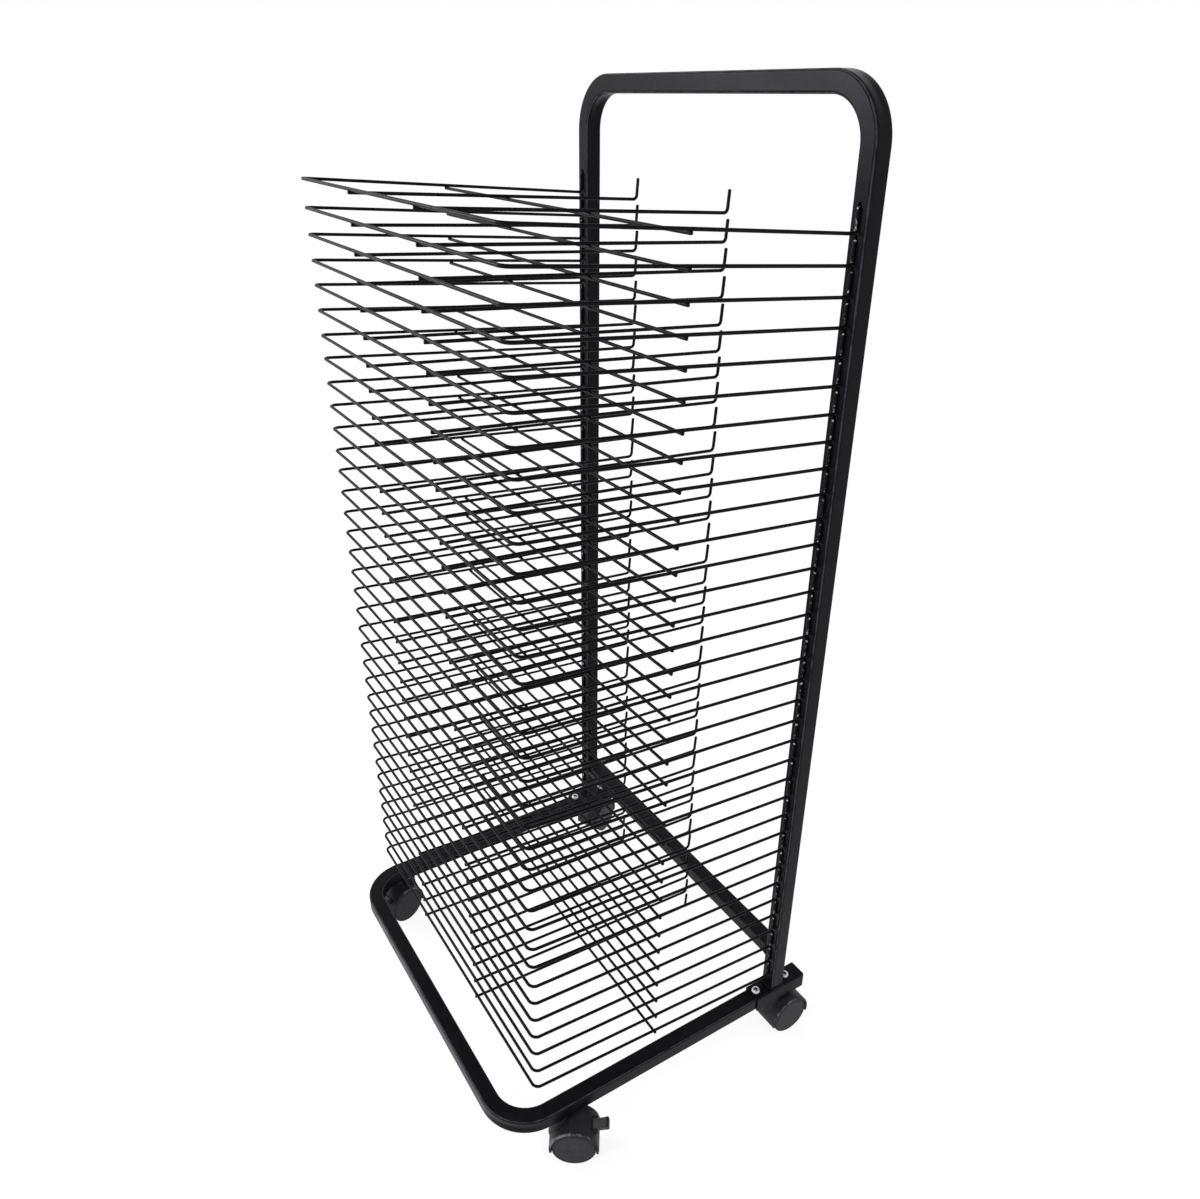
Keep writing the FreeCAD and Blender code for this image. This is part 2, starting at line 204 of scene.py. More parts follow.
def finishMesh(mesh, sharp):
    mesh.polygons.foreach_set("use_smooth", np.ones(len(mesh.polygons), bool))
    mesh.set_sharp_from_angle(angle=sharp)
    mesh.update()


def cutAway(piece, cutters):
    tool = makePiece("cutters", cutters, piece.data.materials[0], None)
    cut = piece.modifiers.new("cut", "BOOLEAN")
    cut.operation, cut.solver, cut.object = "DIFFERENCE", "EXACT", tool
    depsgraph = bpy.context.evaluated_depsgraph_get()
    mesh = bpy.data.meshes.new_from_object(piece.evaluated_get(depsgraph))
    piece.modifiers.clear()
    piece.data = mesh
    bpy.data.objects.remove(tool)
    finishMesh(mesh, sharpAngle)


def softenEdges(piece, width, segments):
    bevel = piece.modifiers.new("softEdges", "BEVEL")
    bevel.width, bevel.segments = width, segments
    bevel.limit_method, bevel.angle_limit = "ANGLE", bevelAngle


skin = {
    "speckScale": 0.22,                    # of the coarser grain, in shares of the fine one
    "speckHeight": 0.6,
    "cloudRange": (0.3, 0.7),              # of the noise, over which the gloss changes
    "slopeRange": (0.3, 1.0),              # of the normal's Z, over which dust comes to rest
    "dustRange": (0.35, 0.75),             # of the noise, over which dust goes from least to all
    "dustLeast": 0.2,
    "dustDull": 0.4,                       # roughness that dust adds
    "scuffStretch": (1.0, 0.25, 0.35),
    "scuffTurn": (0.4, 0.7, 0.3),
    "scuffRange": (0.62, 0.74),
    "fleckRange": (0.3, 0.7),              # of the noise, over which it takes from or adds to the wear
    "fleckReach": 0.5,
    "markRange": (0.4, 1.0),                # of the two together, over which the mark comes in: rubbed coat, painted highlights, painted shade
    "unmarked": 0.1,                         # share of the mark below which the flecks fade out
}


def newGroup(name, inputs, outputs):
    group = bpy.data.node_groups.new(name, "ShaderNodeTree")
    for labels, way in ((inputs, "INPUT"), (outputs, "OUTPUT")):
        for label in labels:
            group.interface.new_socket(label, in_out=way, socket_type="NodeSocketFloat")
    return group, group.nodes.new("NodeGroupInput"), group.nodes.new("NodeGroupOutput")


def feed(tree, sockets, given):
    # each socket in turn gets a number, a colour or a link
    for socket, value in zip(sockets, given):
        if isinstance(value, (int, float)):
            socket.default_value = value
        elif isinstance(value, tuple):
            socket.default_value = (*value, 1)
        else:
            tree.links.new(value, socket)


def addNode(tree, kind, settings=None, **values):
    node = tree.nodes.new(kind)
    for key, value in (settings or {}).items():
        setattr(node, key, value)
    for key, value in values.items():
        node.inputs[key].default_value = value
    return node


def noiseFrom(tree, vector, scale, detail, roughness=0.55):
    node = addNode(tree, "ShaderNodeTexNoise", Detail=detail, Roughness=roughness)
    feed(tree, (node.inputs["Vector"], node.inputs["Scale"]), (vector, scale))
    return node.outputs["Fac"]


def maths(tree, operation, a, b, clamp=False):
    node = addNode(tree, "ShaderNodeMath", {"operation": operation, "use_clamp": clamp})
    feed(tree, node.inputs, (a, b))
    return node.outputs[0]


def ranged(tree, value, fromLow, fromHigh, toLow=0.0, toHigh=1.0):
    node = addNode(tree, "ShaderNodeMapRange")
    feed(tree, node.inputs, (value, fromLow, fromHigh, toLow, toHigh))
    return node.outputs["Result"]


def grainGroup():
    # a sprayed or moulded skin: fine grain for the height, and broad clouds that shift the gloss
    group, given, out = newGroup("surfaceGrain", ("Grain Scale", "Cloud Scale", "Gloss Low", "Gloss High"),
                                 ("Height", "Roughness", "Cloud"))
    spot = addNode(group, "ShaderNodeTexCoord").outputs["Object"]
    fine, broad, low, high = list(given.outputs)[:4]
    grain = noiseFrom(group, spot, fine, detail=3.0)
    speck = noiseFrom(group, spot, maths(group, "MULTIPLY", fine, skin["speckScale"]), detail=2.0)
    cloud = noiseFrom(group, spot, broad, detail=4.0, roughness=0.6)
    height = maths(group, "ADD", grain, maths(group, "MULTIPLY", speck, skin["speckHeight"]))
    feed(group, out.inputs, (height, ranged(group, cloud, *skin["cloudRange"], low, high), cloud))
    return group


def maskGroup(pattern):
    # a pattern from 0 to 1 drawn at a given scale, times an amount
    group, given, out = newGroup(pattern.__name__, ("Amount", "Scale"), ("Mask",))
    spot = addNode(group, "ShaderNodeTexCoord").outputs["Object"]
    drawn = pattern(group, spot, given.outputs["Scale"])
    group.links.new(maths(group, "MULTIPLY", drawn, given.outputs["Amount"], clamp=True), out.inputs["Mask"])
    return group


def restingDust(group, spot, scale):
    # dust on what faces up, broken up by noise
    facing = addNode(group, "ShaderNodeSeparateXYZ")
    group.links.new(addNode(group, "ShaderNodeNewGeometry").outputs["Normal"], facing.inputs[0])
    upward = ranged(group, facing.outputs["Z"], *skin["slopeRange"])
    patch = ranged(group, noiseFrom(group, spot, scale, detail=5.0), *skin["dustRange"], skin["dustLeast"])
    return maths(group, "MULTIPLY", upward, patch)


def lightScuffs(group, spot, scale):
    # short light rubs: stretched noise, kept only at its peaks
    stretch = addNode(group, "ShaderNodeMapping", Scale=skin["scuffStretch"], Rotation=skin["scuffTurn"])
    group.links.new(spot, stretch.inputs["Vector"])
    streak = noiseFrom(group, stretch.outputs["Vector"], scale, detail=6.0, roughness=0.7)
    return ranged(group, streak, *skin["scuffRange"])


def rubbedCoatAndPaintedLight(group, spot, scale):
    # coat rubbed through, painted highlights and painted shade: the piece's own wear, broken up by noise so
    # that it comes off in flecks
    wearAndLightShare = addNode(group, "ShaderNodeAttribute", {"attribute_name": "wearAndPaintedLight"}).outputs["Fac"]
    noise = noiseFrom(group, spot, scale, detail=3.0, roughness=0.65)
    fleck = ranged(group, noise, *skin["fleckRange"], -skin["fleckReach"], skin["fleckReach"])
    bare = ranged(group, maths(group, "ADD", wearAndLightShare, fleck), *skin["markRange"])
    return maths(group, "MULTIPLY", bare, ranged(group, wearAndLightShare, 0.0, skin["unmarked"]))


masks = {"scuffs": lightScuffs, "rubsAndPaintedLight": rubbedCoatAndPaintedLight, "dust": restingDust}
groups = {name: maskGroup(pattern) for name, pattern in masks.items()}
groups["grain"] = grainGroup()


def useGroup(tree, name, given):
    node = tree.nodes.new("ShaderNodeGroup")
    node.node_tree = groups[name]
    feed(tree, node.inputs, given)
    return node.outputs


def mixColours(tree, factor, a, b):
    # this node has sockets of every kind under the same labels; these are the ones for colours
    firstIn, colourOut = 6, 2
    node = addNode(tree, "ShaderNodeMix", {"data_type": "RGBA"})
    tree.links.new(factor, node.inputs["Factor"])
    feed(tree, node.inputs[firstIn:firstIn + 2], (a, b))
    return node.outputs[colourOut]


def coated(name, look):
    # coloured skin over anything: clouds of two colours, and scuffs, rubbed coat with painted highlights and
    # shade, and dust over them
    material = bpy.data.materials.new(name)
    material.use_nodes = True
    tree = material.node_tree
    grain = useGroup(tree, "grain", look["grain"] + look["roughness"])
    tone = mixColours(tree, grain["Cloud"], look["dark"], look["light"])
    layers = {name: useGroup(tree, name, look[name][1:])["Mask"] for name in masks if name in look}
    for layer, mask in layers.items():
        tone = mixColours(tree, mask, tone, look[layer][0])
    dull = maths(tree, "MULTIPLY", layers["dust"], skin["dustDull"])
    strength, depth = look["bump"]
    bump = addNode(tree, "ShaderNodeBump", Strength=strength, Distance=depth)
    tree.links.new(grain["Height"], bump.inputs["Height"])
    surface = {"Base Color": tone, "Roughness": maths(tree, "ADD", grain["Roughness"], dull, clamp=True),
               "Metallic": look.get("metallic", 0.0), "Specular IOR Level": look["specular"],
               "Specular Tint": look["tint"], "Normal": bump.outputs["Normal"]}
    shader = tree.nodes["Principled BSDF"]
    feed(tree, [shader.inputs[label] for label in surface], surface.values())
    return material


# grain: scales of the grain and of the clouds; bump: strength and depth;
# scuffs, rubs with painted highlights and shade, and dust: colour, amount and scale
looks = {
    "powderCoat": {
        "dark": (0.0042, 0.0040, 0.0060), "light": (0.0068, 0.0065, 0.0092), "roughness": (0.27, 0.36),
        "specular": 0.08, "tint": (0.88, 0.85, 1.0), "grain": (1500.0, 22.0), "bump": (0.35, 0.06 * mm),
        "scuffs": ((0.03, 0.03, 0.034), 0.3, 120.0),
        "rubsAndPaintedLight": ((0.064, 0.060, 0.072), 0.9, 60.0),           # painted highlight along the tube's corners, with the coat also worn thin there
        "dust": ((0.10, 0.098, 0.095), 0.04, 70.0),
    },
    "wireCoat": {
        "dark": (0.002, 0.002, 0.0026), "light": (0.0035, 0.0035, 0.0044), "roughness": (0.34, 0.46),
        "specular": 0.09, "tint": (0.9, 0.9, 1.0), "grain": (1900.0, 40.0), "bump": (0.3, 0.04 * mm),
        "scuffs": ((0.015, 0.015, 0.017), 0.2, 200.0),
        "rubsAndPaintedLight": ((0.70, 0.70, 0.71), 1.0, 260.0),             # painted highlights on the hooks' bends, the upper one also bare metal where it rubs
        "dust": ((0.06, 0.06, 0.058), 0.02, 120.0),
    },
    "hoodPlastic": {
        "dark": (0.004, 0.004, 0.0055), "light": (0.038, 0.037, 0.041), "roughness": (0.40, 0.54),
        "specular": 0.16, "tint": (0.84, 0.82, 1.0), "grain": (2600.0, 60.0), "bump": (0.4, 0.05 * mm),
        "scuffs": ((0.09, 0.09, 0.092), 0.5, 260.0),
        "rubsAndPaintedLight": ((0.25, 0.25, 0.255), 0.85, 150.0),           # painted highlight along the edges of the arch
        "dust": ((0.16, 0.155, 0.15), 0.12, 140.0),
    },
    "wheelPlastic": {
        "dark": (0.002, 0.002, 0.003), "light": (0.066, 0.065, 0.076), "roughness": (0.44, 0.60),
        "specular": 0.16, "tint": (0.84, 0.82, 1.0), "grain": (2200.0, 150.0), "bump": (0.45, 0.06 * mm),
        "scuffs": ((0.13, 0.13, 0.132), 0.7, 300.0),
        "rubsAndPaintedLight": ((0.006, 0.006, 0.007), 0.9, 220.0),          # painted shade on the outer round of the tread
        "dust": ((0.16, 0.155, 0.15), 0.10, 160.0),
    },
    "leverPlastic": {
        "dark": (0.070, 0.070, 0.073), "light": (0.125, 0.125, 0.13), "roughness": (0.42, 0.56),
        "specular": 0.3, "tint": (0.9, 0.9, 1.0), "grain": (2400.0, 160.0), "bump": (0.4, 0.05 * mm),
        "scuffs": ((0.16, 0.16, 0.16), 0.6, 280.0),
        "rubsAndPaintedLight": ((0.008, 0.008, 0.009), 0.95, 300.0),         # the dark lip of the tab
        "dust": ((0.18, 0.175, 0.17), 0.10, 160.0),
    },
    "plugPlastic": {
        "dark": (0.008, 0.008, 0.009), "light": (0.012, 0.012, 0.013), "roughness": (0.38, 0.5),
        "specular": 0.2, "tint": (0.9, 0.9, 1.0), "grain": (2400.0, 80.0), "bump": (0.35, 0.04 * mm),
        "scuffs": ((0.05, 0.05, 0.05), 0.3, 240.0),
        "dust": ((0.12, 0.12, 0.115), 0.06, 120.0),
    },
    "zincSteel": {
        "dark": (0.78, 0.78, 0.79), "light": (0.92, 0.92, 0.93), "roughness": (0.22, 0.36), "metallic": 0.45,
        "specular": 0.5, "tint": (1.0, 1.0, 1.0), "grain": (3000.0, 150.0), "bump": (0.25, 0.03 * mm),
        "scuffs": ((0.97, 0.97, 0.97), 0.5, 500.0),
        "rubsAndPaintedLight": ((0.02, 0.02, 0.022), 0.95, 900.0),           # painted shade in the socket of a bolt
        "dust": ((0.55, 0.54, 0.52), 0.05, 200.0),
    },
}
finishes = {name: coated(name, look) for name, look in looks.items()}
print("finishes made:", ", ".join(finishes))


tube = {
    "side": 19 * mm,
    "wall": 1.2 * mm,
    "corner": 2.6 * mm,
    "bend": 47 * mm,           # centreline of the bends
    "bendSteps": 26,
    "flatPoints": 7,
    "highlightAndThinCoatPoints": (2, 3),      # of each corner's arc, where the painted highlight lies
    "innerDent": 1.1 * mm,     # how far the wall inside a bend is drawn in
    "outerDent": 0.5 * mm,
    "slotWidth": 4.4 * mm,
    "slotHeight": 6.5 * mm,
    "slotReach": 3 * mm,       # of the cutters, to both sides of the front face
    "slotSteps": 8,            # of a slot's round end
}
postX = backRight.x - tube["side"] / 2


def bentFrame(corners, up, side, corner, dents):
    # rounded square carried round a U; over each bend the two walls that are squeezed and
    # stretched are drawn in by a depth * sin^2 along the bend * cos^2 across the wall
    steps = tube["bendSteps"]
    path = roundedPath(corners, tube["bend"], steps)
    ways = np.gradient(path, axis=0)
    ways[0], ways[-1] = path[1] - path[0], path[-1] - path[-2]
    across = np.cross(unit(ways), up)
    profile = roundedSquare(side, corner, flat=tube["flatPoints"])
    along = np.concatenate([[0], np.tile(np.sin(np.linspace(0, np.pi, steps + 1)) ** 2, 2), [0]])
    half = side / 2
    level = np.clip(np.abs(profile[:, 1]) / (half - corner), 0, 1)
    shade = np.cos(level * np.pi / 2) ** 2 * (np.abs(profile[:, 0]) > half - tiny)
    inner = profile[:, 0] * dents[2] > 0
    depth = np.where(inner, dents[0], dents[1]) * shade * -np.sign(profile[:, 0])
    rings = np.repeat(profile[None], len(path), axis=0)
    rings[..., 0] += along[:, None] * depth
    return carried(rings, path, across, np.asarray(up, float))


def tubeU(name, start, end, up, innerSign, replaced):
    # square tube from start up to the bend at end, both given in y and z, across to the
    # other side and back; the wear is 1 along the middle of the tube's four round corners, a painted
    # highlight and thinned coat there
    corners = [(-postX, *start), (-postX, *end), (postX, *end), (postX, *start)]
    dents = (tube["innerDent"], tube["outerDent"], innerSign)
    inside = tube["side"] - 2 * tube["wall"]
    outer = bentFrame(corners, up, tube["side"], tube["corner"], dents)
    inner = bentFrame(corners, up, inside, tube["corner"] - tube["wall"], dents)
    rows, columns = outer.shape[:2]
    wearAndLightShare = np.isin(np.arange(columns) % (columns // 4), tube["highlightAndThinCoatPoints"]).astype(float)
    wearAndPaintedLight = np.concatenate([np.tile(wearAndLightShare, rows), np.zeros(rows * columns)])
    return makePiece(name, [hollowTube(outer, inner)], finishes["powderCoat"], "frame",
                     [replaced], wearAndPaintedLight=wearAndPaintedLight)


def slotCutter(centre):
    # slot with round ends, as a bar through the front wall
    width, height = tube["slotWidth"], tube["slotHeight"]
    u = np.linspace(0, np.pi, tube["slotSteps"] + 1)
    top = np.stack([np.cos(u) * width / 2, np.sin(u) * width / 2 + (height - width) / 2], axis=1)
    ring = np.vstack([top, -top])
    return bar(centre + np.stack([ring[:, 0], np.zeros(len(ring)), ring[:, 1]], axis=1), tube["slotReach"])


def buildFrames():
    half = tube["side"] / 2
    y = postFace + half
    rear = tubeU("rearFrame", (y, frontLeft.z), (y, backRight.z - half), (0, 1, 0), -1, "rear_frame")
    slots = []
    for name, joint in joints.items():
        if name.startswith("shelf_"):
            middle = joint["pos_m"][2] + tube["slotHeight"] / 2
            slots += [slotCutter(np.array([x, postFace, middle])) for x in (-postX, postX)]
    cutAway(rear, slots)

    low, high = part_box("base_frame")
    z = (low.z + high.z) / 2
    tubeU("baseFrame", (high.y, z), (low.y + half, z), (0, 0, 1), 1, "base_frame")

    low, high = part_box("rear_cross_rail")
    path = np.array([(x, y, (low.z + high.z) / 2) for x in (low.x, high.x)])
    across, up = np.repeat([[0.0, 1.0, 0.0]], 2, axis=0), np.array([0.0, 0.0, 1.0])
    rail = closedTube(carried(roundedSquare(tube["side"], tube["corner"]), path, across, up))
    makePiece("crossRail", [rail], finishes["powderCoat"], "frame", ["rear_cross_rail"])
    print("frames made, slots cut:", len(slots))


buildFrames()


shelf = {
    "tilt": math.radians(4.4),
    "depth": 327 * mm,
    "radius": 1.6 * mm,
    "planeDrop": 18.132 * mm,    # from the bottom of the slot to the shelf's plane
    "seatGap": 0.05 * mm,        # between the hook and the bottom of the slot
    "legGap": 0.12 * mm,         # between the hook's leg and the post
    "tipAt": 3.22 * mm,          # behind the posts' front faces
    "tipTop": 25.02 * mm,        # above the shelf's plane
    "hookBend": 1.9 * mm,
    "legBend": 3.2 * mm,
    "cornerBend": 7 * mm,
    "bendSteps": 7,
    "crossAt": 171 * mm,
    "crossEnd": 220.4 * mm,
    "rodX": 75 * mm,
    "rodFront": 328.9 * mm,
    "rodBack": 21.5 * mm,
    "rodBend": 4 * mm,
    "stopTop": 23.0 * mm,
    "spacing": 2.836 * mm,       # centres of two wires where they cross, pressed into each other
    "nugget": (2.15 * mm, 2.15 * mm, 1.0 * mm),
    "nuggetSteps": (7, 10),      # from pole to pole and round
    "unevenTurn": math.radians(0.17),
    "unevenSide": 0.35 * mm,
    "glintReach": 2.1 * mm,       # round the pale spots on a hook, which are painted highlights
    "upperSpot": np.array([1 / 3, -1 / 3, 1.35]),    # places of those spots on the leg, in radii
    "lowerSpot": np.array([1 / 2, -0.8, 0]),
    # strength of the painted highlight low on the hook's leg
    "lowerGlint": 0.7,
}
legY = -(shelf["radius"] + shelf["legGap"])      # middle of the hooks' legs, in front of the posts


def onShelf(x, reach, lift):
    # how far in front of the posts along the shelf, and how far above its plane
    return aboutX(-shelf["tilt"]) @ (x, -reach, lift)


def nugget(spot):
    # flattened ball of weld metal squeezed out where two wires cross
    rise, steps = shelf["nuggetSteps"]
    v = np.linspace(-np.pi / 2, np.pi / 2, rise)
    points, faces = lathe(np.stack([np.cos(v), np.sin(v)], axis=1), steps)
    return moved((points * shelf["nugget"], faces), aboutX(-shelf["tilt"]), spot)


def bentWire(corners, bends):
    return roundWire(roundedPath(corners, bends, shelf["bendSteps"]), shelf["radius"])


def shelfWires(jitter):
    depth, cross, spacing, tip = shelf["depth"], shelf["crossAt"], shelf["spacing"], shelf["tipAt"]
    seat = shelf["planeDrop"] + shelf["radius"] + shelf["seatGap"]
    side = [(postX, tip, shelf["tipTop"]), (postX, tip, seat), (postX, legY, seat),
            onShelf(postX, -legY / math.cos(shelf["tilt"]), 0), onShelf(postX, depth, 0)]
    bends = [shelf["hookBend"], shelf["hookBend"], shelf["legBend"], shelf["cornerBend"]]
    shells = [bentWire(side + [(-x, y, z) for x, y, z in reversed(side)], bends + bends[::-1])]
    ends = (-shelf["crossEnd"], 0, shelf["crossEnd"])
    shells.append(roundWire([onShelf(x, cross + jitter[0], -spacing) for x in ends], shelf["radius"]))
    slope = spacing / (depth - cross)
    for sign, shift in ((-1, jitter[1]), (1, jitter[2])):
        x = sign * shelf["rodX"] + shift
        rod = [onShelf(x, reach, (cross - reach) * slope) for reach in (shelf["rodFront"], shelf["rodBack"])]
        shells.append(bentWire(rod + [onShelf(x, shelf["rodBack"], shelf["stopTop"])], shelf["rodBend"]))
        for across, reach in ((x, cross + jitter[0]), (x, depth), (sign * postX, cross + jitter[0])):
            shells.append(nugget(onShelf(across, reach, -spacing / 2)))
    return shells


def hookHighlightsAndWear(shells):
    # painted highlights: 1 on the outside of a hook's upper bend, where the coat also rubs, falling to 0 at
    # the spots' reach from it, and a weaker painted highlight low on its leg
    points = np.vstack([p for p, faces in shells])
    folded = np.hstack([np.abs(points[:, :1]), points[:, 1:]])
    upper = (postX, legY, shelf["planeDrop"]) + shelf["radius"] * shelf["upperSpot"]
    lower = (postX, legY, shelf["legBend"]) + shelf["radius"] * shelf["lowerSpot"]
    away = [np.linalg.norm(folded - spot, axis=1) / shelf["glintReach"] for spot in (upper, lower)]
    return np.clip(1 - away[0], 0, 1) + np.clip(shelf["lowerGlint"] - away[1], 0, 1)


def buildShelves():
    names = sorted(name for name in frame["nodes"] if name.startswith("shelf_"))
    for name in names:
        jitter = rng.uniform(-1, 1, 3) * shelf["unevenSide"]
        lean = rng.uniform(-1, 1) * shelf["unevenTurn"]
        pivot = np.array(joints[name + "_lift"]["pos_m"])
        lift = np.array([0, postFace, pivot[2] - shelf["planeDrop"]]) - pivot
        wires = shelfWires(jitter)
        shells = [moved(moved(shell, shift=lift), aboutX(lean), pivot) for shell in wires]
        # the hooks' bends carry painted highlights
        makePiece("wires_" + name, shells, finishes["wireCoat"], name, [name],
                  wearAndPaintedLight=hookHighlightsAndWear(wires))
    print("shelves made:", len(names))


buildShelves()


saddle = {
    "gap": 0.05 * mm,            # to the arm that it sits on
    "sheet": 2 * mm,
    "outerBend": 2.8 * mm,
    "innerBend": 0.8 * mm,
    "bendSteps": 6,
    "softEdge": 0.35 * mm,
    "softSegments": 2,
}

bolt = {
    "head": 5.25 * mm,
    "underside": 5.04 * mm,
    "crown": 3.4 * mm,
    "edge": 0.5 * mm,            # height at which the head is widest
    "height": 3.3 * mm,
    "dome": 2.2,                 # power of the curve from edge to crown
    "domeSteps": 9,
    "steps": 48,
    "socket": 2.3 * mm,          # half of the hexagon's width across flats
    "mouth": 1.12,               # widening of the hexagon at its mouth
    "mouthDepth": 0.25 * mm,
    "socketDepth": 2.1 * mm,
    "coneDepth": 0.5 * mm,       # below the socket's flats
    "socketRings": 3,            # the last rings of points, inside the mouth, which carry a painted shade
    "shank": 3 * mm,
    "shankSides": 24,
}

weld = {
    "radius": 1.5 * mm,
    "railInset": 1.2 * mm,       # how much narrower the ring is round the rail's ends
    "sides": 8,
    "cornerSteps": 8,
    "flatPoints": 26,
    "ripples": (46, 0.10),       # how many round the tube, and their share of the radius
    "waves": (5, 0.08),
    "waveStart": 1.0,
}

plug = {
    "inset": 0.1 * mm,           # of the flange's width
    "thickness": 2.2 * mm,
    "dome": 2 * mm,
    "size": (1.0, 1.0, 0.985, 0.93, 0.75, 0.45, 0.02),
    "height": (0.0, 0.62, 0.82, 0.93, 1.0, 1.06, 1.08),
}


def arch(halfWidth, bottom, top, bend):
    # up one side, over the top and down the other, with two round corners
    corners = [(-halfWidth, 0, bottom), (-halfWidth, 0, top), (halfWidth, 0, top), (halfWidth, 0, bottom)]
    return roundedPath(corners, bend, saddle["bendSteps"])


def saddleShell(x, low, high):
    # bent sheet: the outer arch and back along the inner one, carried along the arm
    half, sheet = tube["side"] / 2 + saddle["gap"], saddle["sheet"]
    outline = np.vstack([arch(half + sheet, low.z, high.z, saddle["outerBend"]),
                         arch(half, low.z, high.z - sheet, saddle["innerBend"])[::-1]])
    ends = np.array([[x, low.y, 0], [x, high.y, 0]])
    return closedTube(ends[:, None] + outline[None])


def buttonHead(x, y, seat):
    # circle of the head narrowing to the crown with the root of 1 - v ^ dome, then a
    # hexagonal socket, whose points are marked 1 for a painted shade
    steps, top = bolt["steps"], bolt["height"]
    u = around(steps)
    v = np.linspace(0, 1, bolt["domeSteps"])
    radii = bolt["crown"] + (bolt["head"] - bolt["crown"]) * np.sqrt(np.clip(1 - v ** bolt["dome"], 0, 1))
    heights = bolt["edge"] + (top - bolt["edge"]) * v
    sixth = np.pi / 3
    hexagon = bolt["socket"] / np.cos((u + sixth / 2) % sixth - sixth / 2)
    floor = top - bolt["socketDepth"]
    rings = [tiny, bolt["underside"], *radii, hexagon * bolt["mouth"], hexagon, hexagon, tiny]
    rings = np.array([np.broadcast_to(ring, steps) for ring in rings])
    levels = np.array([0, 0, *heights, top, top - bolt["mouthDepth"], floor, floor - bolt["coneDepth"]])
    points = np.stack([x + rings * np.cos(u), y + rings * np.sin(u),
                       np.repeat(seat + levels[:, None], steps, axis=1)], axis=-1)
    dark = np.zeros((len(levels), steps))
    dark[-bolt["socketRings"]:] = 1
    return closedTube(points), dark.ravel()


def weldBead(centre, across, up, inset=0.0):
    # ring of weld round a square tube, its thickness rippled by two sines along its length
    outline = roundedSquare(tube["side"] - inset, tube["corner"], weld["cornerSteps"], weld["flatPoints"])
    path = centre + outline[:, :1] * across + outline[:, 1:] * up
    ways = unit(np.roll(path, -1, axis=0) - np.roll(path, 1, axis=0))
    normal = np.cross(across, up)
    out = np.cross(ways, normal)
    t = 2 * np.pi * np.arange(len(path)) / len(path)
    (ripples, rippleShare), (waves, waveShare) = weld["ripples"], weld["waves"]
    rippled = rippleShare * np.sin(ripples * t) + waveShare * np.sin(waves * t + weld["waveStart"])
    size = weld["radius"] * (1 + rippled)
    u = around(weld["sides"])[None, :, None]
    rings = path[:, None] + size[:, None, None] * (np.cos(u) * out[:, None] + np.sin(u) * normal)
    return outward(rings.reshape(-1, 3), [gridFaces(len(path), weld["sides"], wrapRows=True)])


def plugShell(x, low, high):
    # rounded square flange, its face a low dome of shrinking squares
    profile = roundedSquare(tube["side"] - plug["inset"], tube["corner"])
    middle = (low.z + high.z) / 2
    face = high.y - plug["thickness"]
    rings = [np.stack([x + profile[:, 0] * size, np.full(len(profile), face + plug["dome"] * height),
                       middle + profile[:, 1] * size], axis=1)
             for size, height in zip(plug["size"], plug["height"])]
    return closedTube(np.stack(rings))


def buildFeet():
    low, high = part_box("foot_brackets")
    boltLow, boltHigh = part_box("foot_bolts")
    plugLow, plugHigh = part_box("arm_end_plugs")
    railLow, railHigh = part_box("rear_cross_rail")
    alongX, alongY, alongZ = np.eye(3)
    tubeY, railZ = postFace + tube["side"] / 2, (railLow.z + railHigh.z) / 2
    bolts, marks = [], []
    for x in (-postX, postX):
        for y in (boltLow.y + bolt["head"], boltHigh.y - bolt["head"]):
            head, dark = buttonHead(x, y, high.z)
            shank = roundWire([(x, y, boltLow.z), (x, y, high.z)], bolt["shank"], bolt["shankSides"])
            bolts += [head, shank]
            marks += [dark, np.zeros(len(shank[0]))]
    beads = [weldBead(np.array([x, tubeY, high.z]), alongX, alongY) for x in (-postX, postX)]
    beads += [weldBead(np.array([x, tubeY, railZ]), alongY, alongZ, weld["railInset"])
              for x in (railLow.x, railHigh.x)]
    saddles = [saddleShell(x, low, high) for x in (-postX, postX)]
    plugs = [plugShell(x, plugLow, plugHigh) for x in (-postX, postX)]
    coat = finishes["powderCoat"]
    brackets = makePiece("footBrackets", saddles, coat, "frame", ["foot_brackets"])
    softenEdges(brackets, saddle["softEdge"], saddle["softSegments"])
    # the bolts' sockets carry a painted shade
    makePiece("footBolts", bolts, finishes["zincSteel"], "frame", ["foot_bolts"],
              wearAndPaintedLight=np.concatenate(marks))
    makePiece("armPlugs", plugs, finishes["plugPlastic"], "frame", ["arm_end_plugs"])
    makePiece("frameWelds", beads, coat, "frame", sharp=weldAngle)
    print("feet made, bolts:", len(bolts) // 2)


buildFeet()


# a twin-wheel caster is drawn with its stem on Z and its wheels trailing towards +X
caster = {
    "trail": 18 * mm,
    "axleZ": 25 * mm,
    "halfWidth": 19 * mm,
    "unbrakedHighlight": 0.6,             # share of the hoods' painted edge highlight on casters without a lever
}
axlePoint = np.array([caster["trail"], 0, caster["axleZ"]])

hood = {
    "inner": 25.35 * mm,
    "outer": 28.2 * mm,
    "drop": math.radians(12),    # how far the arch runs on below the axle
    "steps": 72,
    "edge": 0.95 * mm,           # radius of the two outer edges
    "edgeSteps": 5,
    "flatPoints": 9,
    "flatInset": 0.9 * mm,       # of the flat's outer points from the round edges
    "innerEdge": 0.2 * mm,
    "flatHighlight": 0.5,             # painted highlight on the flat's outer points
    "innerHighlight": 0.9,
    "highlightShares": (0.72, 0.6),   # painted highlight along the arch: mean, and how much more towards the stem's side
    "highlightFade": 0.3,             # sine of the height over the axle below which the painted highlight fades
}

web = {
    "half": 3 * mm,
    "overlap": 1.5 * mm,         # with the arch
    "foot": 8 * mm,              # to both sides of the axle and below it
    "steps": 48,
}

